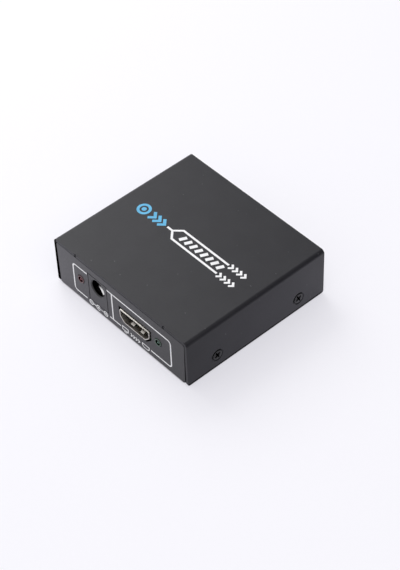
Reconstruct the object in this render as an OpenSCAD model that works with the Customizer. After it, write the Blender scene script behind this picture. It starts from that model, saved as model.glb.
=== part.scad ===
// Video splitter, one input to two outputs, in a folded sheet-metal case.
// Millimetres, +Z up, front panel towards -Y, origin on the table under the middle of the case.

/* [Case] */
// Width of the case, outside the left wall to outside the right wall
case_w = 66.5; // [64:0.5:90]
// Depth of the case, front panel to back panel
case_d = 61; // [60:0.5:90]
// Height of the case, table to top
case_h = 20; // [19:0.5:30]
// Thickness of the folded sheet
sheet_t = 1; // [0.8:0.1:1.2]
// Inside radius of the cover's folds
fold_r = 0.5; // [0.3:0.1:0.8]
// Outside radius of the tray's sharp folds
crease_out = 0.7; // [0.5:0.1:1.2]
// Inside radius of the tray's sharp folds
crease_r = 0.2; // [0.1:0.1:0.5]
// Gap between the tray's edges and the cover
cover_gap = 0.2; // [0.1:0.05:0.3]
// How much each side of a panel draws in towards its foot
panel_taper = 0.4; // [0.1:0.1:0.6]
// Radius of the relief notches at the ends of the tray's folds
corner_relief = 0.8; // [0.5:0.1:1.2]
// Height of the cover's lower edges above the table
wall_lift = 0.3; // [0.05:0.05:0.4]
// Radius of the lower corners of the cover's walls
wall_corner = 0.8; // [0.3:0.1:1.5]
// Radius of the small nicks in the cover's front and back edges
nick_r = 0.35; // [0.2:0.05:0.5]
// Distance of each nick from the nearest side of the case
nick_inset = 11.2; // [8:0.1:14]

/* [Cover screws] */
// Height of the cover screws above the table
screw_z = 5.5; // [5:0.1:7]
// Distance between the front and the back screw of a side
screw_pitch = 36.4; // [32:0.1:38]
// Offset of the screws' middle towards the back
screw_shift = 0.6; // [-1:0.1:1]
// Radius of the screw's thread
screw_r = 1.2; // [1:0.05:1.4]
// Length of the screw with its head
screw_len = 4; // [3.6:0.1:5]
// Radius of the countersunk head
head_r = 2.1; // [2:0.1:2.5]
// Height of the head
head_h = 0.85; // [0.7:0.05:0.95]
// Depth of the head's flat top below the wall
head_sink = 0.05; // [0.05:0.05:0.1]
// Height of the head's upright rim
head_rim = 0.1; // [0.1:0.05:0.2]
// Gap around the screw's shank in the cover
head_gap = 0.2; // [0.1:0.05:0.3]
// How far the countersink's mouth reaches past the head
mouth_play = 0.45; // [0.3:0.05:0.6]
// Width of a slot of the cross recess
cross_w = 0.6; // [0.4:0.1:0.8]
// Length of a slot of the cross recess
cross_len = 2.6; // [2:0.1:3]
// Depth of the cross recess
cross_depth = 0.7; // [0.4:0.1:1]
// Width of the tray's side tabs
tab_w = 7; // [6:0.5:9]
// Height of a side tab above its screw
tab_over = 3; // [2.5:0.1:5]
// Radius of the drawn collar around a tab's threaded hole
collar_r = 2.1; // [1.9:0.1:2.4]
// Length of the drawn collar
collar_len = 1.2; // [0.8:0.1:1.5]
// Gap between the screw's thread and its hole
thread_gap = 0.05; // [0.03:0.01:0.1]
// Width of the relief slots beside a tab's fold
relief_w = 0.8; // [0.5:0.1:1.2]

/* [Circuit board] */
// Thickness of the board
board_t = 1.6; // [1.2:0.1:1.8]
// Length of the standoffs between the floor and the board
standoff_h = 3.2; // [2.8:0.1:4]
// Width of a standoff across its flats
standoff_flats = 4.4; // [4:0.1:5]
// Radius of the standoff's foot, pressed into the floor
foot_r = 1.6; // [1.4:0.1:1.8]
// Gap between the board's ends and the panels
board_end_gap = 0.5; // [0.3:0.1:1]
// Room between the tips of the cover screws and the board
screw_end_gap = 1.75; // [1:0.05:2]
// Distance of the board screws from the board's side edges
mount_side = 3.3; // [3:0.1:4]
// Distance of the board screws from the board's ends
mount_end = 14.5; // [14.3:0.1:16]
// Radius of the board screws' thread
board_screw_r = 1; // [0.9:0.05:1.1]
// Length of the board screws under the head
board_screw_len = 4; // [3.5:0.1:4.4]
// Radius of the board screws' pan head
pan_r = 1.9; // [1.7:0.1:2.1]
// Height of the board screws' pan head
pan_h = 1.3; // [1:0.1:1.6]

/* [Ports] */
// Input port's middle, to the right of the case's middle
input_x = 7.6; // [6:0.1:9]
// First output port's middle, to the right of the case's middle
output_1_x = 14.8; // [13.5:0.1:16]
// Second output port's middle, to the right of the case's middle
output_2_x = -9.6; // [-11:0.1:-8]
// Width of the port's opening
port_w = 14; // [13.6:0.1:14.4]
// Height of the port's opening
port_h = 4.55; // [4.4:0.05:4.8]
// Width of the opening's floor between its slanted corners
port_floor_w = 10.2; // [9.6:0.1:10.8]
// Height of the slanted corners
port_slant_h = 1.9; // [1.6:0.1:2.2]
// Length of the port's shell
port_len = 11.6; // [11:0.1:12]
// Thickness of the shell
shell_t = 0.4; // [0.3:0.05:0.5]
// How far the shell stands out of the panel
port_proud = 0.4; // [0.2:0.1:0.8]
// Height of the shell's underside above the board
port_lift = 0.5; // [0.3:0.1:0.8]
// How far the rolled lip stands out around the shell
lip_flare = 0.15; // [0.05:0.05:0.25]
// Length of the rolled lip
lip_len = 0.5; // [0.3:0.1:0.8]
// Gap between the shell and the edge of its panel cut-out
port_cut_gap = 0.55; // [0.3:0.05:0.7]
// Distance of the shell's springs from the port's middle
spring_x = 2.4; // [2:0.1:2.8]
// Width of a shell spring
spring_w = 1.6; // [1.2:0.1:1.9]
// How far a shell spring bows into the opening
spring_bow = 0.6; // [0.4:0.1:0.8]
// Width of the tongue
tongue_w = 11.2; // [10.6:0.1:11.6]
// Thickness of the tongue
tongue_t = 1.2; // [1:0.1:1.4]
// Depth of the tongue's front edge behind the shell's mouth
tongue_set = 1.6; // [1.2:0.1:2]
// Length of the insulator's block behind the tongue
block_len = 4.2; // [3.8:0.1:4.6]
// Distance between neighbouring contacts of a row
contact_pitch = 1; // [0.9:0.05:1]
// Width of a contact
contact_w = 0.35; // [0.25:0.05:0.4]
// Thickness of a contact
contact_t = 0.15; // [0.1:0.05:0.2]

/* [Lights] */
// Power light's middle, to the right of the case's middle
power_led_x = -20; // [-20.5:0.1:-19]
// Distance of a port's light from the port's middle
led_offset = 11.5; // [11:0.1:11.8]
// Height of the lights' middle above the board
led_lift = 4.3; // [3.5:0.1:5]
// Radius of a light's lens
led_r = 1.6; // [1.4:0.05:1.6]
// Length of a lens, dome and flange included
led_len = 5.3; // [4.8:0.1:5.8]
// How far a dome stands out of the panel
led_proud = 0.3; // [0:0.1:0.4]
// Gap between a lens and its panel hole
led_gap = 0.15; // [0.1:0.05:0.3]
// Distance between the two leads of a light
lead_pitch = 2.54; // [2.4:0.02:2.6]
// Width of a square lead
lead_w = 0.5; // [0.4:0.05:0.6]

/* [Power socket] */
// Power socket's middle, to the right of the case's middle
jack_x = -11.2; // [-11.8:0.1:-10.6]
// Height of the socket's axis above the board
jack_lift = 6.2; // [6:0.1:6.6]
// Width of the socket's face
jack_w = 9.4; // [9.2:0.1:9.8]
// Height of the face above the socket's axis
jack_crown = 4.1; // [4:0.1:4.4]
// How far the face reaches below the board's top
jack_drop = 1.7; // [1.2:0.1:2]
// Length of the face's flange along the socket
flange_len = 3.3; // [3:0.1:3.6]
// Length of the whole housing
jack_len = 13.8; // [13.4:0.1:14.2]
// Depth of the bore
bore_len = 10.5; // [10:0.1:11]
// Radius of the bore
bore_r = 3.15; // [3:0.05:3.3]
// Width of the chamfer around the bore's mouth
bore_chamfer = 0.4; // [0.2:0.1:0.6]
// Gap between the face and its panel cut-out
jack_cut_gap = 0.2; // [0.1:0.05:0.3]
// Radius of the centre pin
pin_r = 1.05; // [1:0.05:1.25]
// Depth of the pin's tip behind the face
pin_set = 2.2; // [1.5:0.1:3]
// Width of the sprung sleeve contact under the bore
leaf_w = 3.6; // [3:0.1:3.8]
// Thickness of the sprung sleeve contact
leaf_t = 0.3; // [0.2:0.05:0.4]
// Distance of the sprung contact's bend from the socket's axis
leaf_reach = 2.3; // [2.2:0.1:2.6]
// Room for the sprung contact to move outwards
leaf_room = 0.7; // [0.6:0.05:0.9]
// Gap between the sprung contact and its neighbours
leaf_gap = 0.15; // [0.1:0.05:0.2]
// Turn of the sprung contact about the socket's axis, from straight below to the left
leaf_turn = 14; // [0:1:18]

/* [Board components] */
// Width of the splitter chip's square body
chip_w = 10; // [8:0.5:10]
// Pins on each side of the splitter chip
chip_pins = 16; // [8:1:16]
// Radius of the capacitor cans
can_r = 2.5; // [2:0.1:2.7]
// Height of the capacitor cans
can_h = 5.4; // [4:0.1:7]
// Width of the power inductor
inductor_w = 5; // [4:0.1:5.4]
// Height of the power inductor
inductor_h = 3; // [2:0.1:4]
// Length of the crystal
crystal_len = 11.4; // [9:0.1:12]

/* [Hidden] */
$fn = 48;

// Cutting tools reach this far past the faces that they open.
cut_over = 1;
// Pieces fixed to one another are a hair apart, so that no faces cross.
seat_gap = 0.05;
// Through-board leads end this far under the board, in slots with this play.
lead_end = 0.8;
slot_play = 0.2;

half_w = case_w / 2;
half_d = case_d / 2;
panel_top = case_h - sheet_t - cover_gap;
tray_w = case_w - 2 * sheet_t - 2 * cover_gap;
fold_out = fold_r + sheet_t;
screw_ys = [screw_shift - screw_pitch / 2, screw_shift + screw_pitch / 2];

board_low = sheet_t + standoff_h;
board_top = board_low + board_t;
board_w = case_w - 2 * (screw_len + screw_end_gap);
board_d = case_d - 2 * (sheet_t + board_end_gap);
mount_x = board_w / 2 - mount_side;
mount_y = board_d / 2 - mount_end;
lead_low = board_low - lead_end;

port_z = board_top + port_lift + shell_t;
tongue_rise = 0.15;
tongue_z = port_z + port_h / 2 + tongue_rise;
block_back = port_len - port_proud;
block_front = block_back - block_len;
tail_gap = 0.35;
tail_y = block_back + tail_gap;
foot_len = 1.2;
contact_set = 0.3;
tongue_root = 1;
leg_len = 1;
leg_lap = 1;
leg_ys = [3.5, 9];
window_y = 0.5;
window_len = 5.9;
spring_ys = [7, 5.5, 2.6, 1.9, 0.8];
upper_contacts = 10;
lower_contacts = 9;

led_z = board_top + led_lift;
led_back = led_len - led_proud;
led_flange_t = 1;
led_flange = 0.4;
lead_run = 1.5;
lead_y = led_back + lead_run;

jack_z = board_top + jack_lift;
jack_step = 0.2;
jack_body_w = jack_w - 2 * jack_step;
leaf_root_back = 0.8;
leaf_root_sink = 0.3;
leaf_root_y = bore_len + leaf_root_back;
leaf_root_out = bore_r + leaf_root_sink;
leaf_root_low = leaf_root_out * cos(leaf_turn);
sleeve_x = -leaf_root_out * sin(leaf_turn);
leaf_straight = 2;
leaf_bend_y = 3.4;
leaf_bend_half = 0.4;
leaf_tip_y = 1.5;
leaf_tip_out = 1;
tail_share = 0.65;
terminal_t = 0.4;
terminal_w = 2.4;
sleeve_w = 0.6;
rest_x = bore_r + leaf_root_sink;
rest_y = 7;
rest_top = 1.5;

// Places and directions

// Draws its children on the front panel: y runs inwards from the panel's outer face.
module on_front(x) {
    translate([x, -half_d, 0]) children();
}

// Draws its children on the back panel, turned about the vertical.
module on_back(x) {
    translate([x, half_d, 0]) rotate([0, 0, 180]) children();
}

// Draws its children at a cover screw: z runs outwards from the wall's outer face.
module at_cover_screw(side, y) {
    translate([side * half_w, y, screw_z]) rotate([0, side * 90, 0]) children();
}

// Draws its children at each board screw.
module at_board_screws() {
    for (x = [-mount_x, mount_x], y = [-mount_y, mount_y]) translate([x, y, 0]) children();
}

// Extrudes a side view, drawn in y and z, to a width along x.
module across(width) {
    rotate([90, 0, 90]) linear_extrude(width, center = true) children();
}

// Bores along y from the panel's outer face inwards.
module bore_y(r, from, to) {
    translate([0, from, 0]) rotate([-90, 0, 0]) cylinder(r = r, h = to - from);
}

// Sheet metal

// Upright rectangle on y = 0 with round lower corners.
module round_bottom(w, h, r) {
    translate([-w / 2, r]) square([w, h - r]);
    translate([-w / 2 + r, 0]) square([w - 2 * r, h]);
    for (side = [-1, 1]) translate([side * (w / 2 - r), r]) circle(r);
}

// Section of a sheet folded up at both ends, with the outer and inner radius of its folds.
module folded_sheet(w, h, outer, inner) {
    difference() {
        round_bottom(w, h, outer);
        translate([0, sheet_t]) round_bottom(w - 2 * sheet_t, h, inner);
    }
}

// Front view of a panel: its sides draw in towards its foot, its top corners clear the cover's folds.
module panel_outline() {
    top = tray_w / 2;
    foot = top - panel_taper;
    polygon([
        [-foot, 0], [foot, 0], [top, panel_top - fold_r], [top - fold_r, panel_top],
        [fold_r - top, panel_top], [-top, panel_top - fold_r]
    ]);
}

// Clearance for a cover screw through wall and tab: plain hole and countersink.
module cover_screw_hole() {
    clear_r = screw_r + head_gap;
    mouth_r = head_r + mouth_play;
    cone = head_sink + head_h;
    translate([0, 0, -sheet_t - cover_gap / 2]) cylinder(r = clear_r, h = sheet_t + cut_over);
    translate([0, 0, -cone]) cylinder(r1 = clear_r, r2 = mouth_r, h = cone);
    cylinder(r = mouth_r, h = cut_over);
}

// Threaded hole of a tab.
module thread_hole() {
    depth = sheet_t * 2 + cover_gap + collar_len + cut_over;
    translate([0, 0, -depth]) cylinder(r = screw_r + thread_gap, h = depth);
}

// Port opening's outline grown by g on every side, floor at y = 0.
function port_outline(g) =
    let (
        a = port_w / 2,
        b = port_floor_w / 2,
        run = a - b,
        len = norm([run, port_slant_h]),
        nx = port_slant_h / len,
        nz = -run / len,
        c = nx * b + g,
        side_z = (c - nx * (a + g)) / nz,
        floor_x = (c + nz * g) / nx
    )
    [[-floor_x, -g], [floor_x, -g], [a + g, side_z], [a + g, port_h + g],
     [-a - g, port_h + g], [-a - g, side_z]];

// Solid with the port's outline between two depths behind the panel's face.
module port_solid(g, from, to) {
    translate([0, to, port_z]) rotate([90, 0, 0]) linear_extrude(to - from) polygon(port_outline(g));
}

module port_cut() {
    port_solid(shell_t + lip_flare + port_cut_gap, -cut_over, sheet_t + cut_over);
}

module led_cut() {
    translate([0, 0, led_z]) bore_y(led_r + led_gap, -cut_over, sheet_t + cut_over);
}

module jack_cut() {
    w = jack_w + 2 * jack_cut_gap;
    low = board_top - jack_drop - jack_cut_gap;
    high = jack_z + jack_crown + jack_cut_gap;
    translate([-w / 2, -cut_over, low]) cube([w, sheet_t + 2 * cut_over, high - low]);
}

// Floor, front and back panels and side tabs, folded from one sheet.
module base_tray() {
    color("#2e2e31") difference() {
        union() {
            intersection() {
                across(tray_w) folded_sheet(case_d, panel_top, crease_out, crease_r);
                rotate([90, 0, 0]) linear_extrude(case_d, center = true) panel_outline();
            }
            for (y = screw_ys) {
                translate([0, y, 0]) rotate([90, 0, 0])
                    linear_extrude(tab_w, center = true)
                        folded_sheet(tray_w, screw_z + tab_over, crease_out, crease_r);
                for (side = [-1, 1]) at_cover_screw(side, y)
                    translate([0, 0, -cover_gap - 2 * sheet_t - collar_len])
                        cylinder(r = collar_r, h = collar_len + sheet_t / 2);
            }
        }
        for (side = [-1, 1], y = screw_ys) {
            at_cover_screw(side, y) {
                cover_screw_hole();
                thread_hole();
            }
            for (end = [-1, 1])
                translate([side * (tray_w / 2 - fold_out / 2), y + end * (tab_w + relief_w) / 2, 0])
                    cube([fold_out + seat_gap, relief_w, 2 * fold_out], center = true);
        }
        for (x = [-1, 1], y = [-half_d, half_d])
            translate([x * (tray_w / 2 - panel_taper), y, -cut_over])
                cylinder(r = corner_relief, h = cut_over + sheet_t + crease_r);
        at_board_screws() translate([0, 0, -cut_over])
            cylinder(r = foot_r + seat_gap, h = sheet_t + 2 * cut_over);
        on_front(jack_x) jack_cut();
        on_front(input_x) port_cut();
        on_front(power_led_x) led_cut();
        on_front(input_x + led_offset) led_cut();
        for (x = [output_1_x, output_2_x]) {
            on_back(x) port_cut();
            on_back(x - led_offset) led_cut();
        }
    }
}

// Top and both side walls, folded from one sheet, with four countersunk holes.
module top_cover() {
    color("#29292b") difference() {
        intersection() {
            rotate([90, 0, 0]) linear_extrude(case_d, center = true)
                translate([0, case_h]) mirror([0, 1]) folded_sheet(case_w, case_h - wall_lift, fold_out, fold_r);
            across(case_w) translate([0, wall_lift]) round_bottom(case_d, case_h, wall_corner);
        }
        for (side = [-1, 1], y = screw_ys) at_cover_screw(side, y) cover_screw_hole();
        for (x = [-half_w + nick_inset, half_w - nick_inset], y = [-half_d, half_d])
            translate([x, y, case_h - sheet_t - cut_over]) cylinder(r = nick_r, h = sheet_t + 2 * cut_over);
    }
}

// Cover screws

// Countersunk screw with a cross recess: z runs outwards, wall face at z = 0.
module cover_screw() {
    point = 0.3;
    cross_turn = 20;
    difference() {
        translate([0, 0, -head_sink]) rotate_extrude() polygon([
            [0, 0], [head_r, 0], [head_r, -head_rim], [screw_r, -head_h],
            [screw_r, -screw_len + point], [screw_r - point, -screw_len], [0, -screw_len]
        ]);
        for (turn = [0, 90]) rotate([0, 0, turn + cross_turn])
            translate([-cross_len / 2, -cross_w / 2, -head_sink - cross_depth])
                cube([cross_len, cross_w, cross_depth + cut_over]);
    }
}

module cover_screw_right_front() {
    color("#1c1c1e") at_cover_screw(1, screw_ys[0]) cover_screw();
}

module cover_screw_right_back() {
    color("#1c1c1e") at_cover_screw(1, screw_ys[1]) cover_screw();
}

module cover_screw_left_front() {
    color("#1c1c1e") at_cover_screw(-1, screw_ys[0]) cover_screw();
}

module cover_screw_left_back() {
    color("#1c1c1e") at_cover_screw(-1, screw_ys[1]) cover_screw();
}

// Circuit board and what holds it

// Slots for the legs of a port's shell.
module port_leg_slots() {
    for (side = [-1, 1], y = leg_ys)
        translate([side * (port_w + shell_t) / 2, y, board_low + board_t / 2])
            cube([shell_t + 2 * slot_play, leg_len + 2 * slot_play, board_t + 2 * cut_over], center = true);
}

// Holes for the two leads of a light.
module led_lead_holes() {
    for (side = [-1, 1])
        translate([side * lead_pitch / 2, lead_y, board_low - cut_over])
            cylinder(r = lead_w / 2 + slot_play, h = board_t + 2 * cut_over);
}

// Slots for the power socket's terminals, and the bay for the flange of its face.
module jack_board_cuts() {
    bay_w = jack_w + 4 * slot_play;
    tall = board_t + 2 * cut_over;
    translate([-bay_w / 2, -cut_over, board_low - cut_over])
        cube([bay_w, flange_len + slot_play + cut_over, tall]);
    for (slot = [[0, jack_len + terminal_t / 2, terminal_w, terminal_t],
                 [sleeve_x, leaf_root_y + leaf_gap + terminal_t / 2, sleeve_w, terminal_t],
                 [rest_x, rest_y, terminal_t, sleeve_w]])
        translate([slot[0], slot[1], board_low + board_t / 2])
            cube([slot[2] + 2 * slot_play, slot[3] + 2 * slot_play, tall], center = true);
}

// Glass-fibre board between the panels, with its holes and slots.
module circuit_board() {
    color("#14532d") difference() {
        translate([-board_w / 2, -board_d / 2, board_low]) cube([board_w, board_d, board_t]);
        at_board_screws() translate([0, 0, board_low - cut_over])
            cylinder(r = board_screw_r + slot_play, h = board_t + 2 * cut_over);
        on_front(jack_x) jack_board_cuts();
        on_front(input_x) port_leg_slots();
        on_front(power_led_x) led_lead_holes();
        on_front(input_x + led_offset) led_lead_holes();
        for (x = [output_1_x, output_2_x]) {
            on_back(x) port_leg_slots();
            on_back(x - led_offset) led_lead_holes();
        }
    }
}

// Six-sided pillars whose feet are pressed into the floor.
module board_standoffs() {
    color("#c9a227") at_board_screws() difference() {
        union() {
            translate([0, 0, sheet_t]) cylinder(r = standoff_flats / sqrt(3), h = standoff_h, $fn = 6);
            cylinder(r = foot_r, h = sheet_t + standoff_h / 2);
        }
        translate([0, 0, board_low - board_screw_len])
            cylinder(r = board_screw_r + seat_gap, h = board_screw_len + cut_over);
    }
}

// Pan-head screws that hold the board on its standoffs.
module board_screws() {
    crown_r = pan_r * 0.6;
    color("#b8b8bc") at_board_screws() translate([0, 0, board_top]) difference() {
        rotate_extrude() polygon([
            [0, pan_h], [crown_r, pan_h], [pan_r, pan_h / 2], [pan_r, 0],
            [board_screw_r, 0], [board_screw_r, -board_screw_len], [0, -board_screw_len]
        ]);
        for (turn = [0, 90]) rotate([0, 0, turn])
            translate([-pan_r / 2, -cross_w / 2, pan_h / 2]) cube([pan_r, cross_w, pan_h]);
    }
}

// Ports

// Side view of a spring cut from the shell: fixed at the back, bowed inwards near the mouth.
module shell_spring(width) {
    rises = [-shell_t / 2, -shell_t / 4, spring_bow - shell_t / 4, spring_bow - shell_t / 3, spring_bow / 8];
    line = [for (i = [0 : len(rises) - 1]) [spring_ys[i], rises[i]]];
    across(width) polygon(concat(
        [for (p = line) p + [0, shell_t / 4]],
        [for (i = [len(line) - 1 : -1 : 0]) line[i] - [0, shell_t / 4]]
    ));
}

// Plated shell: a folded tube with a rolled lip, four springs and four legs into the board.
module port_shell() {
    window = [spring_w + 2 * slot_play, window_len, 3 * shell_t];
    back = block_back;
    difference() {
        union() {
            port_solid(shell_t, -port_proud, back);
            port_solid(shell_t + lip_flare, -port_proud, lip_len - port_proud);
            for (side = [-1, 1], y = leg_ys) {
                left = side > 0 ? port_w / 2 : -port_w / 2 - shell_t;
                translate([left, y - leg_len / 2, lead_low])
                    cube([shell_t, leg_len, port_z + port_h / 2 + leg_lap - lead_low]);
            }
        }
        port_solid(0, -port_proud - cut_over, back + cut_over);
        port_solid(lip_flare, -port_proud - cut_over, lip_len / 2 - port_proud);
        for (x = [-spring_x, spring_x], z = [port_z - shell_t / 2, port_z + port_h + shell_t / 2])
            translate([x, window_y + window_len / 2, z]) cube(window, center = true);
    }
    for (x = [-spring_x, spring_x]) {
        translate([x, 0, port_z]) shell_spring(spring_w);
        translate([x, 0, port_z + port_h]) mirror([0, 0, 1]) shell_spring(spring_w);
    }
}

// Passage of one contact through the block behind the tongue.
module contact_slot(x, z) {
    translate([x, (block_front + block_back) / 2, z])
        cube([contact_w + seat_gap, block_len + 2 * cut_over, contact_t + seat_gap], center = true);
}

// Moulded block that closes the shell's back, with the tongue standing forwards from it.
module port_insulator() {
    difference() {
        union() {
            port_solid(-seat_gap, block_front, block_back);
            translate([-tongue_w / 2, tongue_set - port_proud, tongue_z - tongue_t / 2])
                cube([tongue_w, block_front + tongue_root - tongue_set + port_proud, tongue_t]);
        }
        for (i = [0 : upper_contacts - 1])
            contact_slot((i - (upper_contacts - 1) / 2) * contact_pitch, tongue_z + (tongue_t + contact_t) / 2);
        for (i = [0 : lower_contacts - 1])
            contact_slot((i - (lower_contacts - 1) / 2) * contact_pitch, tongue_z - (tongue_t + contact_t) / 2);
    }
}

// Side view of one contact: along the tongue from height z, down behind the block, and onto the board.
module contact_side(z) {
    front = tongue_set - port_proud + contact_set;
    polygon([
        [front, z], [front, z + contact_t], [tail_y + contact_t, z + contact_t],
        [tail_y + contact_t, board_top + contact_t], [tail_y + foot_len, board_top + contact_t],
        [tail_y + foot_len, board_top], [tail_y, board_top], [tail_y, z]
    ]);
}

// Two rows of contacts on the faces of the tongue, half a pitch apart.
module port_contacts() {
    for (i = [0 : upper_contacts - 1])
        translate([(i - (upper_contacts - 1) / 2) * contact_pitch, 0, 0])
            across(contact_w) contact_side(tongue_z + tongue_t / 2);
    for (i = [0 : lower_contacts - 1])
        translate([(i - (lower_contacts - 1) / 2) * contact_pitch, 0, 0])
            across(contact_w) contact_side(tongue_z - tongue_t / 2 - contact_t);
}

module input_port_shell() {
    color("#cfcac0") on_front(input_x) port_shell();
}

module input_port_insulator() {
    color("#241c17") on_front(input_x) port_insulator();
}

module input_port_contacts() {
    color("#c8a24a") on_front(input_x) port_contacts();
}

module output_port_1_shell() {
    color("#cfcac0") on_back(output_1_x) port_shell();
}

module output_port_1_insulator() {
    color("#241c17") on_back(output_1_x) port_insulator();
}

module output_port_1_contacts() {
    color("#c8a24a") on_back(output_1_x) port_contacts();
}

module output_port_2_shell() {
    color("#cfcac0") on_back(output_2_x) port_shell();
}

module output_port_2_insulator() {
    color("#241c17") on_back(output_2_x) port_insulator();
}

module output_port_2_contacts() {
    color("#c8a24a") on_back(output_2_x) port_contacts();
}

// Power socket

// Moulded housing: flanged face, bore with a chamfered mouth, pocket under it for the sprung contact.
module power_jack_housing() {
    low = board_top - jack_drop;
    top = jack_z + jack_crown;
    pocket_out = leaf_root_out + leaf_t / 2 + leaf_room;
    pocket_from = leaf_tip_y - 2 * leaf_gap;
    pocket_w = leaf_w + 2 * leaf_gap;
    color("#262628") on_front(jack_x) difference() {
        union() {
            translate([-jack_w / 2, 0, low]) cube([jack_w, flange_len, top - low]);
            translate([-jack_body_w / 2, flange_len / 2, board_top])
                cube([jack_body_w, jack_len - flange_len / 2, top - board_top]);
        }
        translate([0, 0, jack_z]) {
            bore_y(bore_r, -cut_over, bore_len);
            rotate([-90, 0, 0]) cylinder(r1 = bore_r + bore_chamfer, r2 = bore_r, h = bore_chamfer);
            bore_y(pin_r + seat_gap, bore_len - cut_over, jack_len + cut_over);
            rotate([0, leaf_turn, 0]) translate([-pocket_w / 2, pocket_from, -pocket_out])
                cube([pocket_w, leaf_root_y + leaf_gap - pocket_from, pocket_out]);
        }
        for (slot = [[sleeve_x, leaf_root_y + leaf_gap + terminal_t / 2, sleeve_w, terminal_t,
                      leaf_root_low - leaf_t],
                     [rest_x, rest_y, terminal_t, sleeve_w, rest_top - seat_gap]])
            translate([slot[0] - slot[2] / 2 - seat_gap, slot[1] - slot[3] / 2 - seat_gap, low - cut_over])
                cube([slot[2] + 2 * seat_gap, slot[3] + 2 * seat_gap, jack_z - slot[4] - low + cut_over]);
    }
}

// Round-tipped centre pin, with a thinner tail through its terminal.
module power_jack_pin() {
    tip = 0.4;
    tail_r = pin_r * tail_share;
    color("#d8d4c8") on_front(jack_x) translate([0, 0, jack_z]) rotate([-90, 0, 0]) rotate_extrude() polygon([
        [0, pin_set], [pin_r - tip, pin_set], [pin_r, pin_set + tip], [pin_r, jack_len],
        [tail_r, jack_len], [tail_r, jack_len + 2 * terminal_t], [0, jack_len + 2 * terminal_t]
    ]);
}

// Sprung sleeve contact: a strip under the bore that bows up into it, pivoting at its root.
module power_jack_spring() {
    half = leaf_t / 2;
    line = [[leaf_root_y, -leaf_root_out], [leaf_root_y - leaf_straight, -leaf_root_out],
            [leaf_bend_y + leaf_bend_half, -leaf_reach - half],
            [leaf_bend_y - leaf_bend_half, -leaf_reach - half],
            [leaf_tip_y, -leaf_reach - leaf_tip_out]];
    color("#dcdad4") on_front(jack_x) translate([0, 0, jack_z]) rotate([0, leaf_turn, 0])
        across(leaf_w) polygon(concat(
            [for (p = line) p + [0, half]],
            [for (i = [len(line) - 1 : -1 : 0]) line[i] - [0, half]]
        ));
}

// Three terminals through the board: centre pin, sleeve contact and rest contact.
module power_jack_terminals() {
    pin_top = 1.6;
    sleeve_y = leaf_root_y + leaf_gap;
    color("#cfcac0") on_front(jack_x) {
        difference() {
            translate([-terminal_w / 2, jack_len, lead_low])
                cube([terminal_w, terminal_t, jack_z + pin_top - lead_low]);
            translate([0, 0, jack_z])
                bore_y(pin_r * tail_share + seat_gap, jack_len - cut_over, jack_len + cut_over);
        }
        translate([sleeve_x - sleeve_w / 2, sleeve_y, lead_low])
            cube([sleeve_w, terminal_t, jack_z - leaf_root_low + leaf_t / 2 - lead_low]);
        translate([rest_x - terminal_t / 2, rest_y - sleeve_w / 2, lead_low])
            cube([terminal_t, sleeve_w, jack_z - rest_top - lead_low]);
    }
}

// Lights

// Round-topped lens with a flange at its back.
module led_lens() {
    translate([0, 0, led_z]) {
        bore_y(led_r, led_r - led_proud, led_back);
        bore_y(led_r + led_flange, led_back - led_flange_t, led_back);
        translate([0, led_r - led_proud, 0]) sphere(led_r);
    }
}

// Two square leads, bent down into the board.
module led_leads() {
    half = lead_w / 2;
    for (side = [-1, 1]) translate([side * lead_pitch / 2, 0, 0]) across(lead_w) polygon([
        [led_back, led_z + half], [lead_y + half, led_z + half], [lead_y + half, lead_low],
        [lead_y - half, lead_low], [lead_y - half, led_z - half], [led_back, led_z - half]
    ]);
}

module power_led() {
    color("#a3262b") on_front(power_led_x) led_lens();
}

module power_led_leads() {
    color("#b9b9bd") on_front(power_led_x) led_leads();
}

module input_led() {
    color("#2f7a4d") on_front(input_x + led_offset) led_lens();
}

module input_led_leads() {
    color("#b9b9bd") on_front(input_x + led_offset) led_leads();
}

module output_led_1() {
    color("#2f7a4d") on_back(output_1_x - led_offset) led_lens();
}

module output_led_1_leads() {
    color("#b9b9bd") on_back(output_1_x - led_offset) led_leads();
}

module output_led_2() {
    color("#2f7a4d") on_back(output_2_x - led_offset) led_lens();
}

module output_led_2_leads() {
    color("#b9b9bd") on_back(output_2_x - led_offset) led_leads();
}

// Board components

// Each place is [x, y] from the board's middle.
chip_at = [4, 0];
memory_at = [[-12, 9], [17.5, 9]];
regulator_at = [-19.5, -6.5];
cans_at = [[-11, -8.5], [-20.5, 3]];
inductor_at = [-11.5, -0.5];
crystal_at = [3.5, 11];

chip_h = 1.4;
chip_lift = 0.1;
pin_t = 0.15;
knee_share = 0.45;
chip_pitch = 0.5;
chip_pin_w = 0.22;
chip_pin_reach = 1;
memory_pins = 4;
memory_pitch = 1.27;
memory_pin_w = 0.4;
memory_pin_reach = 1.05;
regulator_leads = 3;
regulator_pitch = 2.3;
regulator_pin_w = 0.7;
regulator_tab_w = 3;
regulator_pin_reach = 1.6;
memory_size = [4.9, 3.9, 1.5];
regulator_size = [6.5, 3.5, 1.6];
crystal_size = [crystal_len, 4.6, 3.5];
array_size = [2.5, 1.2, 0.6];
resistor_size = [0.8, 1.6, 0.5];
capacitor_size = [0.8, 1.6, 0.8];

// Box standing on the board, its middle at a place, with a gap under it.
module on_board(place, size, lift = 0) {
    translate([place[0] - size[0] / 2, place[1] - size[1] / 2, board_top + lift]) cube(size);
}

// One gull-wing pin: out of the body at half its height, down to the board; x runs outwards.
module gull_pin(width, height, reach) {
    knee = reach * knee_share;
    rotate([90, 0, 0]) linear_extrude(width, center = true) polygon([
        [0, height], [knee, height], [knee, pin_t], [reach, pin_t],
        [reach, 0], [knee - pin_t, 0], [knee - pin_t, height - pin_t], [0, height - pin_t]
    ]);
}

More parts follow.
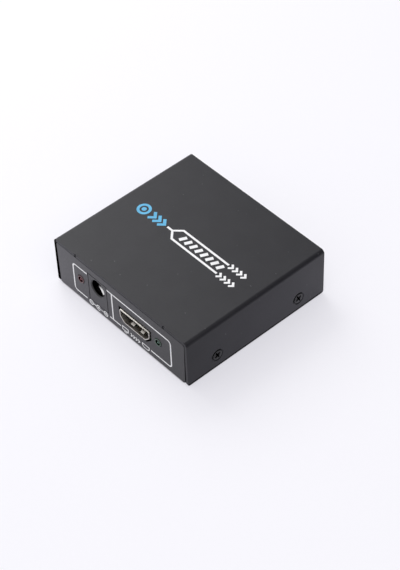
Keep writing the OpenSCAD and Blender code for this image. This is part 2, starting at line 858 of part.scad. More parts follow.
// A row of gull-wing pins along y.
module pin_row(count, pitch, width, height, reach) {
    for (i = [0 : count - 1]) translate([0, (i - (count - 1) / 2) * pitch, board_top])
        gull_pin(width, height, reach);
}

module splitter_chip() {
    color("#1f1f21") on_board(chip_at, [chip_w, chip_w, chip_h], chip_lift);
}

module splitter_chip_pins() {
    color("#c4c4c8") translate([chip_at[0], chip_at[1], 0])
        for (turn = [0 : 90 : 270]) rotate([0, 0, turn]) translate([chip_w / 2, 0, 0])
            pin_row(chip_pins, chip_pitch, chip_pin_w, chip_lift + chip_h / 2, chip_pin_reach);
}

module memory_chips() {
    color("#232325") for (place = memory_at) on_board(place, memory_size, chip_lift);
}

module memory_chip_pins() {
    color("#c4c4c8") for (place = memory_at, turn = [90, 270])
        translate([place[0], place[1], 0]) rotate([0, 0, turn]) translate([memory_size[1] / 2, 0, 0])
            pin_row(memory_pins, memory_pitch, memory_pin_w, chip_lift + memory_size[2] / 2, memory_pin_reach);
}

module regulator() {
    color("#202022") on_board(regulator_at, regulator_size, chip_lift);
}

module regulator_pins() {
    height = chip_lift + regulator_size[2] / 2;
    color("#c4c4c8") translate([regulator_at[0], regulator_at[1], 0]) {
        rotate([0, 0, 270]) translate([regulator_size[1] / 2, 0, 0])
            pin_row(regulator_leads, regulator_pitch, regulator_pin_w, height, regulator_pin_reach);
        rotate([0, 0, 90]) translate([regulator_size[1] / 2, 0, 0])
            pin_row(1, 0, regulator_tab_w, height, regulator_pin_reach);
    }
}

base_h = 0.8;
base_rim = 0.15;
groove_low = 0.5;

// Rolled aluminium cans with a groove above the base.
module capacitor_cans() {
    groove = 0.25;
    color("#c7c9cc") for (place = cans_at) translate([place[0], place[1], board_top + base_h])
        rotate_extrude() polygon([
            [0, 0], [can_r, 0], [can_r, groove_low], [can_r - groove, groove_low + groove],
            [can_r, groove_low + 2 * groove],
            [can_r, can_h - groove], [can_r - groove, can_h], [0, can_h]
        ]);
}

// Square moulded bases of the cans.
module capacitor_bases() {
    side = 2 * (can_r + base_rim);
    color("#1b1b1d") for (place = cans_at) on_board(place, [side, side, base_h]);
}

// Square moulded inductor with cut corners.
module power_inductor() {
    cut = 0.8;
    h = inductor_w / 2;
    color("#4a4a4e") translate([inductor_at[0], inductor_at[1], board_top]) linear_extrude(inductor_h) polygon([
        [-h + cut, -h], [h - cut, -h], [h, -h + cut], [h, h - cut],
        [h - cut, h], [-h + cut, h], [-h, h - cut], [-h, -h + cut]
    ]);
}

crystal_base = 0.5;
crystal_rim = 0.3;

// Crystal in a drawn can with round ends, on a flat base.
module crystal() {
    r = crystal_size[1] / 2 - crystal_rim;
    straight = crystal_size[0] - crystal_size[1];
    color("#cdced1") translate([crystal_at[0], crystal_at[1], board_top]) {
        linear_extrude(crystal_base) square([crystal_size[0], crystal_size[1]], center = true);
        linear_extrude(crystal_size[2]) {
            square([straight, 2 * r], center = true);
            for (side = [-1, 1]) translate([side * straight / 2, 0]) circle(r);
        }
    }
}

array_pitch = 3.2;
array_gap = 2.2;
array_y = block_back + foot_len + array_gap;

// Three surge-protection arrays behind each port.
module port_arrays() {
    for (i = [-1 : 1]) translate([i * array_pitch, array_y, 0]) on_board([0, 0], array_size);
}

module protection_arrays() {
    color("#2a2a2c") {
        on_front(input_x) port_arrays();
        for (x = [output_1_x, output_2_x]) on_back(x) port_arrays();
    }
}

small_pitch = 1.5;
small_count = 7;
small_gap = 2.2;

// Rows of small parts along the sides of the splitter chip.
module beside_chip(size) {
    for (side = [-1, 1], i = [0 : small_count - 1])
        translate([chip_at[0] + (i - (small_count - 1) / 2) * small_pitch,
                   chip_at[1] + side * (chip_w / 2 + small_gap), 0]) on_board([0, 0], size);
}

module chip_resistors() {
    color("#26262a") beside_chip(resistor_size);
}

module chip_capacitors() {
    color("#a9855a") for (side = [-1, 1], i = [0 : small_count - 1])
        translate([chip_at[0] + side * (chip_w / 2 + small_gap),
                   chip_at[1] + (i - (small_count - 1) / 2) * small_pitch, 0])
            rotate([0, 0, 90]) on_board([0, 0], capacitor_size);
}

base_tray();
top_cover();
cover_screw_right_front();
cover_screw_right_back();
cover_screw_left_front();
cover_screw_left_back();
circuit_board();
board_standoffs();
board_screws();
input_port_shell();
input_port_insulator();
input_port_contacts();
output_port_1_shell();
output_port_1_insulator();
output_port_1_contacts();
output_port_2_shell();
output_port_2_insulator();
output_port_2_contacts();
power_jack_housing();
power_jack_pin();
power_jack_spring();
power_jack_terminals();
power_led();
power_led_leads();
input_led();
input_led_leads();
output_led_1();
output_led_1_leads();
output_led_2();
output_led_2_leads();
splitter_chip();
splitter_chip_pins();
memory_chips();
memory_chip_pins();
regulator();
regulator_pins();
capacitor_cans();
capacitor_bases();
power_inductor();
crystal();
protection_arrays();
chip_resistors();
chip_capacitors();
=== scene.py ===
import math

import bmesh
import bpy
from mathutils import Matrix, Vector


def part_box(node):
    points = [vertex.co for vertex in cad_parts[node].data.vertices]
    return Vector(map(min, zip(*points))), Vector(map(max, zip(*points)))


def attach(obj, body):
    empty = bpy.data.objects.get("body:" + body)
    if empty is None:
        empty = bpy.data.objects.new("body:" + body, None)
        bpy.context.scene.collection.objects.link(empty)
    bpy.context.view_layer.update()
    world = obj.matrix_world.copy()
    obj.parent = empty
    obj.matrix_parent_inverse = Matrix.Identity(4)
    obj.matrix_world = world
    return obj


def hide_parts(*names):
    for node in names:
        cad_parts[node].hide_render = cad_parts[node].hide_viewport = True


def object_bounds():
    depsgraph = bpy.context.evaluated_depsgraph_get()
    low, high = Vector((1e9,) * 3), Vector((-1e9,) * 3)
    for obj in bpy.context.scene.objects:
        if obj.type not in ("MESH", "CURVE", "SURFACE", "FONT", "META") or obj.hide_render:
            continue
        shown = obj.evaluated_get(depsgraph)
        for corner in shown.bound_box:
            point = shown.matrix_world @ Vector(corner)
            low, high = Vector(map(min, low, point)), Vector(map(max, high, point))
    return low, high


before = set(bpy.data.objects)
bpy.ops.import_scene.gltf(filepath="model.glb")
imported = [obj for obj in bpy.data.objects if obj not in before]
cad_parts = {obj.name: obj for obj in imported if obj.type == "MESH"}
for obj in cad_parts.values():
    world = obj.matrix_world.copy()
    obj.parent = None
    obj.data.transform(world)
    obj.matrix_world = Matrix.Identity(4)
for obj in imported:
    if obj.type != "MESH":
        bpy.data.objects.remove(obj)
cad_low, cad_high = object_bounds()


# Base tray
# One sheet of 1 mm steel, cut out for the sockets and lights, folded up into the floor, the front and
# back panels and four side tabs, and coated with a fine matt black powder.
mm = 0.001
same_place, same_plane = 0.001 * mm, math.radians(0.5)
crease_angle, eased_angle = math.radians(35), math.radians(40)
tray_ease = 0.12 * mm
tray_dark, tray_light, tray_sheen = (0.0150, 0.0148, 0.0165), (0.0180, 0.0178, 0.0195), 0.55
speck_size, speck_rise, speck_shade = 0.75, (0.865, 0.90), (0.09, 0.09, 0.094)
patch_rise, grain_rise, grain_strength = (0.35, 0.65), (0.3, 0.7), 0.6


def merge_corners(form):
    """Merges the corners that meet."""
    bmesh.ops.remove_doubles(form, verts=form.verts, dist=same_place)


def join_flats(form, verts):
    """Joins the faces in one plane that lie between these vertices."""
    chosen = set(verts)
    edges = [e for e in form.edges if set(e.verts) <= chosen]
    bmesh.ops.dissolve_limit(form, angle_limit=same_plane, verts=verts, edges=edges)


def node_form(node):
    """The node's own solid with its corners merged and its flat faces joined."""
    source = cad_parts[node].data.copy()
    while source.attributes.get("custom_normal"):
        source.attributes.remove(source.attributes["custom_normal"])
    form = bmesh.new()
    form.from_mesh(source)
    bpy.data.meshes.remove(source)
    merge_corners(form)
    join_flats(form, list(form.verts))
    return form


def make_piece(name, form, material, body="case", nodes=()):
    """Makes a finished form an object that rides on a body and stands for its nodes."""
    mesh = bpy.data.meshes.new(name)
    form.to_mesh(mesh)
    form.free()
    mesh.materials.clear()
    mesh.materials.append(material)
    mesh.polygons.foreach_set("material_index", [0] * len(mesh.polygons))
    mesh.shade_smooth()
    mesh.set_sharp_from_angle(angle=crease_angle)
    made = bpy.data.objects.new(name, mesh)
    bpy.context.scene.collection.objects.link(made)
    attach(made, body)
    if nodes:
        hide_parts(*nodes)
    return made


def ease_edges(made, width, segments=2):
    """Rounds a piece's sharp edges, as the coat or the mould leaves them."""
    bevel = made.modifiers.new("eased edges", "BEVEL")
    bevel.width = width
    bevel.segments = segments
    bevel.limit_method = "ANGLE"
    bevel.angle_limit = eased_angle
    bevel.harden_normals = True


def add_node(tree, kind, **values):
    """A new shader node with its input values set."""
    made = tree.nodes.new(kind)
    for socket, value in values.items():
        made.inputs[socket].default_value = value
    return made


def mix_colour(tree, factor, first, second):
    """Goes from the first to the second as the factor rises; each is a colour or a socket."""
    mix = tree.nodes.new("ShaderNodeMix")
    mix.data_type = "RGBA"
    tree.links.new(factor, mix.inputs[0])
    for socket, value in ((mix.inputs[6], first), (mix.inputs[7], second)):
        if isinstance(value, bpy.types.NodeSocket):
            tree.links.new(value, socket)
        else:
            socket.default_value = (*value, 1)
    return mix.outputs[2]


def stretch_range(tree, value, low, high, to_low=0.0, to_high=1.0):
    """The value's stretch from low to high, spread over another range."""
    ranged = add_node(tree, "ShaderNodeMapRange", **{
        "From Min": low, "From Max": high, "To Min": to_low, "To Max": to_high})
    tree.links.new(value, ranged.inputs["Value"])
    return ranged.outputs["Result"]


def noise(tree, size, detail=2.0, stretch=(1, 1, 1)):
    """Noise whose blots are about that many millimetres across."""
    place = tree.nodes.new("ShaderNodeTexCoord")
    spread = add_node(tree, "ShaderNodeMapping", Scale=stretch)
    made = add_node(tree, "ShaderNodeTexNoise", Scale=1 / (size * mm), Detail=detail)
    tree.links.new(place.outputs["Object"], spread.inputs["Vector"])
    tree.links.new(spread.outputs["Vector"], made.inputs["Vector"])
    return made.outputs["Fac"]


def grained(name, dark, light, rough, grain, relief, drift=6.0, metallic=0.0, stretch=(1, 1, 1)):
    """A finish that drifts between two shades; its grain's size and relief are in millimetres."""
    material = bpy.data.materials.new(name)
    material.use_nodes = True
    tree = material.node_tree
    shader = tree.nodes["Principled BSDF"]
    shader.inputs["Metallic"].default_value = metallic
    grains = noise(tree, grain, 3.0, stretch)
    patches = stretch_range(tree, noise(tree, drift, 3.0), *patch_rise)
    tree.links.new(mix_colour(tree, patches, dark, light), shader.inputs["Base Color"])
    tree.links.new(stretch_range(tree, grains, *grain_rise, *rough), shader.inputs["Roughness"])
    bump = add_node(tree, "ShaderNodeBump", Strength=grain_strength, Distance=relief * mm)
    tree.links.new(grains, bump.inputs["Height"])
    tree.links.new(bump.outputs["Normal"], shader.inputs["Normal"])
    return material


def lay_over(tree, mask, shade):
    """Lays a shade over the part of a finish that the mask covers."""
    base = tree.nodes["Principled BSDF"].inputs["Base Color"]
    tree.links.new(mix_colour(tree, mask, base.links[0].from_socket, shade), base)


def powder_coat(name, dark, light, sheen):
    """Fine matt powder coat with a faint orange-peel grain and a few pale specks of dust."""
    material = grained(name, dark, light, rough=(0.36, 0.46), grain=0.32, relief=0.026, drift=9.0)
    tree = material.node_tree
    tree.nodes["Principled BSDF"].inputs["Specular IOR Level"].default_value = sheen
    lay_over(tree, stretch_range(tree, noise(tree, speck_size, 0.0), *speck_rise), speck_shade)
    return material


tray_coat = powder_coat("tray coat", tray_dark, tray_light, tray_sheen)
tray = make_piece("folded_tray", node_form("base_tray"), tray_coat, nodes=["base_tray"])
ease_edges(tray, tray_ease)


# Standoffs and board screws
# Four six-sided brass pillars are pressed into the floor; four zinc-plated pan-head screws hold the
# board down on them.
def dress(material, *nodes):
    """Gives CAD nodes that keep their own shape a finish."""
    for node in nodes:
        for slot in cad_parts[node].material_slots:
            slot.material = material


turned_brass = grained("turned brass", (0.52, 0.36, 0.11), (0.66, 0.48, 0.18), rough=(0.22, 0.38),
                       grain=0.15, relief=0.004, metallic=1.0, stretch=(1, 1, 8))
zinc_plate = grained("zinc plate", (0.52, 0.52, 0.54), (0.66, 0.66, 0.69), rough=(0.24, 0.4),
                     grain=0.2, relief=0.004, metallic=1.0)
dress(turned_brass, "board_standoffs")
dress(zinc_plate, "board_screws")


# Circuit board
# A glass-fibre board under glossy green solder mask, dark at its cut edges; copper tracks run under
# the mask in two directions and show as slightly paler lines.
track_scale, track_bends, track_width = 0.35 / mm, {"X": 1.5, "Y": 2.5}, (0.72, 0.8)
track_field, track_change = 7.0, (0.48, 0.52)
track_green, cut_brown, cut_lean = (0.014, 0.125, 0.05), (0.016, 0.015, 0.010), (0.7, 0.5)


def solder_mask():
    """Green mask that shows the tracks under it, with the board's bare cut at its edges."""
    material = grained("solder mask", (0.004, 0.05, 0.017), (0.006, 0.07, 0.024), rough=(0.16, 0.26),
                       grain=0.5, relief=0.004)
    tree = material.node_tree
    place = tree.nodes.new("ShaderNodeTexCoord")
    tracks = []
    for direction, bends in track_bends.items():
        wave = add_node(tree, "ShaderNodeTexWave", Scale=track_scale, Distortion=bends)
        wave.bands_direction = direction
        tree.links.new(place.outputs["Object"], wave.inputs["Vector"])
        tracks.append(stretch_range(tree, wave.outputs["Fac"], *track_width))
    choose = stretch_range(tree, noise(tree, track_field, 1.0), *track_change)
    lay_over(tree, mix_colour(tree, choose, *tracks), track_green)
    facing = tree.nodes.new("ShaderNodeSeparateXYZ")
    level = tree.nodes.new("ShaderNodeMath")
    level.operation = "ABSOLUTE"
    tree.links.new(place.outputs["Normal"], facing.inputs[0])
    tree.links.new(facing.outputs["Z"], level.inputs[0])
    lay_over(tree, stretch_range(tree, level.outputs[0], *cut_lean), cut_brown)
    return material


dress(solder_mask(), "circuit_board")


# Chips, regulator and arrays
# Black moulded resin bodies with tinned gull-wing pins, soldered to the board. The capacitors' feet are
# of the same resin.
chip_resin = grained("chip resin", (0.012, 0.012, 0.013), (0.02, 0.02, 0.021), rough=(0.5, 0.66),
                     grain=0.08, relief=0.006, drift=2.0)
bright_tin = grained("bright tin", (0.55, 0.55, 0.56), (0.7, 0.7, 0.71), rough=(0.26, 0.42),
                     grain=0.12, relief=0.004, drift=1.0, metallic=1.0)
dress(chip_resin, "splitter_chip", "memory_chips", "regulator", "protection_arrays", "capacitor_bases")
dress(bright_tin, "splitter_chip_pins", "memory_chip_pins", "regulator_pins")


# Capacitors, inductor, crystal and small parts
# Drawn aluminium cans, a pressed ferrite block, glazed film resistors and fired ceramic capacitors, all
# soldered to the top of the board.
drawn_can = grained("drawn can", (0.62, 0.63, 0.65), (0.74, 0.75, 0.77), rough=(0.2, 0.34),
                    grain=0.2, relief=0.003, drift=3.0, metallic=1.0, stretch=(1, 1, 0.15))
ferrite = grained("ferrite", (0.05, 0.05, 0.053), (0.08, 0.08, 0.085), rough=(0.6, 0.8),
                  grain=0.1, relief=0.01, drift=1.5)
resistor_glaze = grained("resistor glaze", (0.012, 0.012, 0.014), (0.025, 0.025, 0.028),
                         rough=(0.2, 0.34), grain=0.1, relief=0.003, drift=0.8)
fired_ceramic = grained("fired ceramic", (0.30, 0.19, 0.085), (0.40, 0.26, 0.12), rough=(0.4, 0.55),
                        grain=0.08, relief=0.004, drift=0.8)
dress(drawn_can, "capacitor_cans", "crystal")
dress(ferrite, "power_inductor")
dress(resistor_glaze, "chip_resistors")
dress(fired_ceramic, "chip_capacitors")


# Ports
# Each port is a nickel-plated steel shell folded round a dark moulded insulator. Its mouth is rolled
# outwards, four springs are cut from its top and bottom, and four legs go through the board.
close_by = 0.01 * mm
port_w, port_h = 14.0 * mm, 4.55 * mm
port_floor, port_slant = 10.2 * mm, 1.9 * mm
port_corner, slant_bend = 0.42 * mm, math.radians(45)
shell_t, shell_ease = 0.4 * mm, 0.06 * mm
lip_flare, lip_len, lip_roll = 0.15 * mm, 0.5 * mm, 0.2 * mm
window_front, window_back = 0.9 * mm, 6.8 * mm
spring_x, spring_w, spring_play, spring_tip = 2.4 * mm, 1.6 * mm, 0.2 * mm, 1.2 * mm
spring_bow, spring_crest, spring_steps = 0.62 * mm, 0.74, 16
spring_curl, spring_fall = 1.4, 0.93
leg_places, leg_len = (3.9 * mm, 9.4 * mm), 1.0 * mm
nose_depth, nose_round, tongue_ease = 1.6 * mm, 0.3 * mm, 0.01 * mm


def new_verts(grown):
    """The vertices that an extrusion added."""
    return [v for v in grown["geom"] if isinstance(v, bmesh.types.BMVert)]


def new_edges(grown):
    """The edges that an extrusion added."""
    return [e for e in grown["geom"] if isinstance(e, bmesh.types.BMEdge)]


def mouth_loop(form):
    """The mouth's outline along the middle of the sheet, floor at z = 0, corners rounded."""
    out = shell_t / 2
    lean = out * math.tan(slant_bend / 2)
    floor_x, side_x = port_floor / 2 + lean, port_w / 2 + out
    slant_z, top_z = port_slant - lean, port_h + out
    cuts = [spring_x - spring_w / 2 - spring_play, spring_x + spring_w / 2 + spring_play]
    cuts = [-cuts[1], -cuts[0], cuts[0], cuts[1]]
    floor = [(x, -out) for x in cuts]
    ceiling = [(x, top_z) for x in reversed(cuts)]
    outline = [(-floor_x, -out), *floor, (floor_x, -out), (side_x, slant_z), (side_x, top_z), *ceiling,
               (-side_x, top_z), (-side_x, slant_z)]
    verts = [form.verts.new((x, 0, z)) for x, z in outline]
    for first, second in zip(verts, verts[1:] + verts[:1]):
        form.edges.new((first, second))
    straight = floor + ceiling
    corners = [v for v, place in zip(verts, outline) if place not in straight]
    bmesh.ops.bevel(form, geom=corners, offset=port_corner, offset_type="OFFSET", segments=4, profile=0.5,
                    affect="VERTICES", material=-1)
    return list(form.edges)


def spring_rise(along):
    """Share of a spring's bow from root to tip: a long rise, then a short round fall to the mouth."""
    if along < spring_crest:
        return math.sin(math.pi / 2 * along / spring_crest) ** spring_curl
    return math.cos(math.pi / 2 * spring_fall * (along - spring_crest) / (1 - spring_crest))


def cut_springs(form):
    """Opens the shell's windows and bends a spring forwards from the back edge of each."""
    middle = port_h / 2
    reach = spring_w / 2 + spring_play
    for side in (-spring_x, spring_x):
        for level in (-1, 1):
            pane = [f for f in form.faces
                    if window_front < f.calc_center_median().y < window_back
                    and abs(f.calc_center_median().x - side) < reach / 2
                    and level * (f.calc_center_median().z - middle) > middle]
            bmesh.ops.delete(form, geom=pane, context="FACES_ONLY")
            edges = [e for e in form.edges
                     if all(abs(v.co.y - window_back) < close_by for v in e.verts)
                     and all(abs(abs(v.co.x - side) - reach) < close_by for v in e.verts)
                     and all(level * (v.co.z - middle) > middle for v in e.verts)]
            root_z = edges[0].verts[0].co.z
            for step in range(1, spring_steps + 1):
                along = step / spring_steps
                grown = bmesh.ops.extrude_edge_only(form, edges=edges)
                for v in new_verts(grown):
                    v.co.x = side + math.copysign(spring_w / 2, v.co.x - side)
                    v.co.y = window_back + (spring_tip - window_back) * along
                    v.co.z = root_z - level * spring_bow * spring_rise(along)
                edges = [e for e in new_edges(grown)
                         if abs(e.verts[0].co.y - e.verts[1].co.y) < same_place]


def port_shell(length, leg_low):
    """The folded shell: mouth at y = 0, +Y into the case, floor of the opening at z = 0."""
    form = bmesh.new()
    ring = mouth_loop(form)
    lip = {v for e in ring for v in e.verts}
    at = 0.0
    for depth in (lip_len / 2, lip_len, window_front, window_back, length):
        grown = bmesh.ops.extrude_edge_only(form, edges=ring)
        added = new_verts(grown)
        bmesh.ops.translate(form, verts=added, vec=(0, depth - at, 0))
        ring = [e for e in new_edges(grown) if set(e.verts) <= set(added)]
        at = depth
    half_w, half_h = port_w / 2 + shell_t / 2, port_h / 2 + shell_t / 2
    for v in lip:
        v.co.y = lip_roll
        v.co.x *= (half_w + lip_flare) / half_w
        v.co.z = port_h / 2 + (v.co.z - port_h / 2) * (half_h + lip_flare) / half_h
    cut_springs(form)
    for side in (-half_w, half_w):
        for y in leg_places:
            front, back = y - leg_len / 2, y + leg_len / 2
            corners = [(front, leg_low), (back, leg_low), (back, port_slant), (front, port_slant)]
            form.faces.new([form.verts.new((side, *corner)) for corner in corners])
    bmesh.ops.recalc_face_normals(form, faces=form.faces)
    return form


def round_tongue(form, mouth_y, turn):
    """Rounds the edges of the tongue's free end."""
    nose_y = mouth_y + turn * nose_depth
    nose = [e for e in form.edges if all(abs(v.co.y - nose_y) < 2 * close_by for v in e.verts)]
    bmesh.ops.bevel(form, geom=nose, offset=nose_round, offset_type="OFFSET", segments=3, profile=0.5,
                    affect="EDGES", material=-1)


nickel = grained("nickel plate", (0.54, 0.515, 0.475), (0.63, 0.605, 0.56), rough=(0.3, 0.4),
                 grain=0.25, relief=0.001, drift=2.5, metallic=1.0, stretch=(1, 0.2, 1))
insulator_resin = grained("insulator resin", (0.012, 0.0095, 0.008), (0.02, 0.016, 0.013),
                          rough=(0.42, 0.58), grain=0.1, relief=0.005, drift=2.0)
gold_flash = grained("gold flash", (0.62, 0.43, 0.14), (0.75, 0.55, 0.22), rough=(0.18, 0.3),
                     grain=0.1, relief=0.003, drift=1.0, metallic=1.0)

for port, turn in (("input_port", 1), ("output_port_1", -1), ("output_port_2", -1)):
    low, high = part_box(port + "_shell")
    mouth_y = low.y if turn > 0 else high.y
    floor_z = high.z - lip_flare - shell_t - port_h
    shell_form = port_shell(high.y - low.y, low.z - floor_z)
    place = Matrix.Translation(((low.x + high.x) / 2, mouth_y, floor_z))
    if turn < 0:
        place = place @ Matrix.Rotation(math.pi, 4, "Z")
    shell_form.transform(place)
    shell = make_piece(port + "_folded_shell", shell_form, nickel, nodes=[port + "_shell"])
    sheet = shell.modifiers.new("sheet", "SOLIDIFY")
    sheet.thickness = shell_t
    sheet.offset = 0
    sheet.use_even_offset = True
    ease_edges(shell, shell_ease)
    tongue_form = node_form(port + "_insulator")
    round_tongue(tongue_form, mouth_y, turn)
    tongue = make_piece(port + "_tongue", tongue_form, insulator_resin,
                        nodes=[port + "_insulator"])
    ease_edges(tongue, tongue_ease)
    dress(gold_flash, port + "_contacts")


# Power socket
# A black moulded housing behind the front panel, with a silver-plated centre pin, a sprung sleeve
# contact that bows up into the bore from below, and three tinned terminals through the board.
# The bore is painted black with no shine, as painted shade.
bore_r, bore_fade, bore_painted_shade = 3.15 * mm, (0.06 * mm, 0.02 * mm), (0.002, 0.002, 0.002)
flange_ease, housing_ease = 0.1 * mm, 0.05 * mm
pin_tip, tail_share, tail_len = 0.55 * mm, 0.65, 0.8 * mm
leaf_end, leaf_bend, leaf_ease = 0.2 * mm, 0.35 * mm, 0.04 * mm
tip_slope = Vector((0.1, 0.85, 0.71)) * mm


def distance_from_axis(tree, centre):
    """Distance of a surface point from a line along Y through the centre."""
    place = tree.nodes.new("ShaderNodeTexCoord")
    offset = tree.nodes.new("ShaderNodeVectorMath")
    offset.operation = "SUBTRACT"
    offset.inputs[1].default_value = centre
    across = tree.nodes.new("ShaderNodeVectorMath")
    across.operation = "MULTIPLY"
    across.inputs[1].default_value = (1, 0, 1)
    reach = tree.nodes.new("ShaderNodeVectorMath")
    reach.operation = "LENGTH"
    tree.links.new(place.outputs["Object"], offset.inputs[0])
    tree.links.new(offset.outputs["Vector"], across.inputs[0])
    tree.links.new(across.outputs["Vector"], reach.inputs[0])
    return reach.outputs["Value"]


def take_gloss(tree, mask):
    """Takes the shine from the part of a finish that the mask covers, so that painted shade there stays
    black.
    """
    shader = tree.nodes["Principled BSDF"]
    tree.links.new(mask, shader.inputs["Metallic"])
    tree.links.new(mix_colour(tree, mask, (1, 1, 1), (0, 0, 0)), shader.inputs["Specular Tint"])


def socket_plastic(axis):
    """Moulded plastic with the fine grain of the tool on its face, and painted shade in its bore: black
    with no shine.
    """
    material = grained("socket plastic", (0.016, 0.016, 0.017), (0.022, 0.022, 0.023),
                       rough=(0.36, 0.46), grain=0.3, relief=0.008, drift=3.0)
    tree = material.node_tree
    bore = stretch_range(tree, distance_from_axis(tree, axis), *(bore_r + fade for fade in bore_fade))
    lay_over(tree, bore, bore_painted_shade)
    take_gloss(tree, bore)
    return material


def arc(centre_u, centre_v, radius, start, end, steps=8):
    """Points on an arc, angles in degrees."""
    angles = [math.radians(start + (end - start) * i / steps) for i in range(steps + 1)]
    return [(centre_u + radius * math.cos(a), centre_v + radius * math.sin(a)) for a in angles]


def lathe(profile, steps=48):
    """A turned form: pairs of radius and height spun about Z."""
    form = bmesh.new()
    verts = [form.verts.new((radius, 0, height)) for radius, height in profile]
    edges = [form.edges.new(pair) for pair in zip(verts, verts[1:])]
    bmesh.ops.spin(form, geom=verts + edges, cent=(0, 0, 0), axis=(0, 0, 1), dvec=(0, 0, 0),
                   angle=2 * math.pi, steps=steps, use_merge=True)
    merge_corners(form)
    bmesh.ops.recalc_face_normals(form, faces=form.faces)
    return form


pin_low, pin_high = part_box("power_jack_pin")
socket_axis = (pin_low + pin_high) / 2
housing_form = node_form("power_jack_housing")
low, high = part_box("power_jack_housing")
for v in housing_form.verts:
    if high.x - abs(v.co.x - socket_axis.x) - socket_axis.x < close_by:
        v.co.x -= math.copysign(flange_ease, v.co.x - socket_axis.x)
    if high.z - v.co.z < close_by:
        v.co.z -= flange_ease
housing = make_piece("power_socket_housing", housing_form, socket_plastic(socket_axis),
                     nodes=["power_jack_housing"])
ease_edges(housing, housing_ease)
dress(bright_tin, "power_jack_terminals")

silver_plate = grained("silver plate", (0.90, 0.90, 0.90), (0.95, 0.95, 0.95), rough=(0.10, 0.2),
                       grain=0.2, relief=0.003, drift=1.5, metallic=1.0)
facing_front = Matrix.Rotation(math.pi / 2, 4, "X")
pin_r, pin_len = (pin_high.x - pin_low.x) / 2, pin_high.y - pin_low.y
tail_r = pin_r * tail_share
pin_form = lathe([(0, 0), *arc(pin_r - pin_tip, -pin_tip, pin_tip, 90, 0, 6), (pin_r, tail_len - pin_len),
                  (tail_r, tail_len - pin_len), (tail_r, -pin_len), (0, -pin_len)])
pin_form.transform(Matrix.Translation((socket_axis.x, pin_low.y, socket_axis.z)) @ facing_front)
make_piece("power_socket_pin", pin_form, silver_plate, nodes=["power_jack_pin"])

leaf_form = node_form("power_jack_spring")
low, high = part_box("power_jack_spring")
bends = [e for e in leaf_form.edges
         if abs(e.verts[0].co.x - e.verts[1].co.x) > (high.x - low.x) / 2
         and all(low.y + leaf_end < v.co.y < high.y - leaf_end for v in e.verts)]
tip_left = [v for v in leaf_form.verts if v.co.y < low.y + leaf_end and v.co.x < (low.x + high.x) / 2]
bmesh.ops.translate(leaf_form, verts=tip_left, vec=tip_slope)
bmesh.ops.bevel(leaf_form, geom=bends, offset=leaf_bend, offset_type="OFFSET", segments=5, profile=0.5,
                affect="EDGES", material=-1, clamp_overlap=True)
leaf = make_piece("power_socket_leaf", leaf_form, silver_plate, "power_jack_spring",
                  ["power_jack_spring"])
ease_edges(leaf, leaf_ease)


# Lights
# Four 3 mm lamps of tinted resin, cast round two leads that are bent down into the board. Each stands
# in a hole of a panel with a low round rim round a shallow dish, which holds painted shade with a painted
# highlight at its middle.
led_r, led_flange, led_flange_t, led_ease = 1.5 * mm, 0.4 * mm, 1.0 * mm, 0.12 * mm
# Each lamp's dish holds painted shade, with a painted highlight at its middle.
rim_w, core_r, core_depth, highlight_r = 0.4 * mm, 1.08 * mm, 0.22 * mm, 0.36 * mm
core_fade, highlight_fade, rim_drift = 0.08 * mm, 0.06 * mm, 0.85
# Colours of each lamp: its resin rim, the painted shade of its middle and its painted highlight.
red_resin_shade_highlight = ((0.16, 0.085, 0.09), (0.04, 0.002, 0.003), (0.47, 0.265, 0.275))
green_resin_shade_highlight = ((0.075, 0.11, 0.09), (0.012, 0.05, 0.028), (0.33, 0.46, 0.39))


def tinted_resin_painted_light(name, rim, core_shade, painted_highlight, centre):
    """Cast resin round a lamp's axis: a pale rim round a dark middle of painted shade, with a painted
    highlight at its centre.
    """
    material = grained(name, [rim_drift * c for c in rim], rim, rough=(0.12, 0.2), grain=0.6, relief=0.004,
                       drift=1.2)
    tree = material.node_tree
    away = distance_from_axis(tree, centre)
    inner = stretch_range(tree, away, core_r + core_fade, core_r)
    lay_over(tree, inner, core_shade)
    lay_over(tree, stretch_range(tree, away, highlight_r + highlight_fade, highlight_r - highlight_fade), painted_highlight)
    take_gloss(tree, inner)
    return material


def lamp_lens(length):
    """A lamp's body: top of the rim at z = 0, flange at its foot."""
    round_r, flange_r = rim_w / 2, led_r + led_flange - led_ease
    shoulder = led_flange_t - length
    return lathe([(0, -core_depth), (core_r, -core_depth),
                  *arc(led_r - round_r, -round_r, round_r, 180, 0, 12), (led_r, shoulder),
                  *arc(flange_r, shoulder - led_ease, led_ease, 90, 0, 3),
                  *arc(flange_r, led_ease - length, led_ease, 0, -90, 3), (0, -length)])


for lamp, lamp_look, slot, turn in (("power_led", red_resin_shade_highlight, "red_lens", 1),
                               ("input_led", green_resin_shade_highlight, "green_lens", 1),
                               ("output_led_1", green_resin_shade_highlight, "green_lens", -1),
                               ("output_led_2", green_resin_shade_highlight, "green_lens", -1)):
    low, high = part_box(lamp)
    lens_form = lamp_lens(high.y - low.y)
    front_y = low.y if turn > 0 else high.y
    turned = facing_front if turn > 0 else Matrix.Rotation(math.pi, 4, "Z") @ facing_front
    lens_form.transform(Matrix.Translation(((low.x + high.x) / 2, front_y, (low.z + high.z) / 2)) @ turned)
    resin = tinted_resin_painted_light(lamp + " resin", *lamp_look, (low + high) / 2)
    make_piece(lamp + "_lens", lens_form, resin, nodes=[lamp])
    dress(bright_tin, lamp + "_leads")


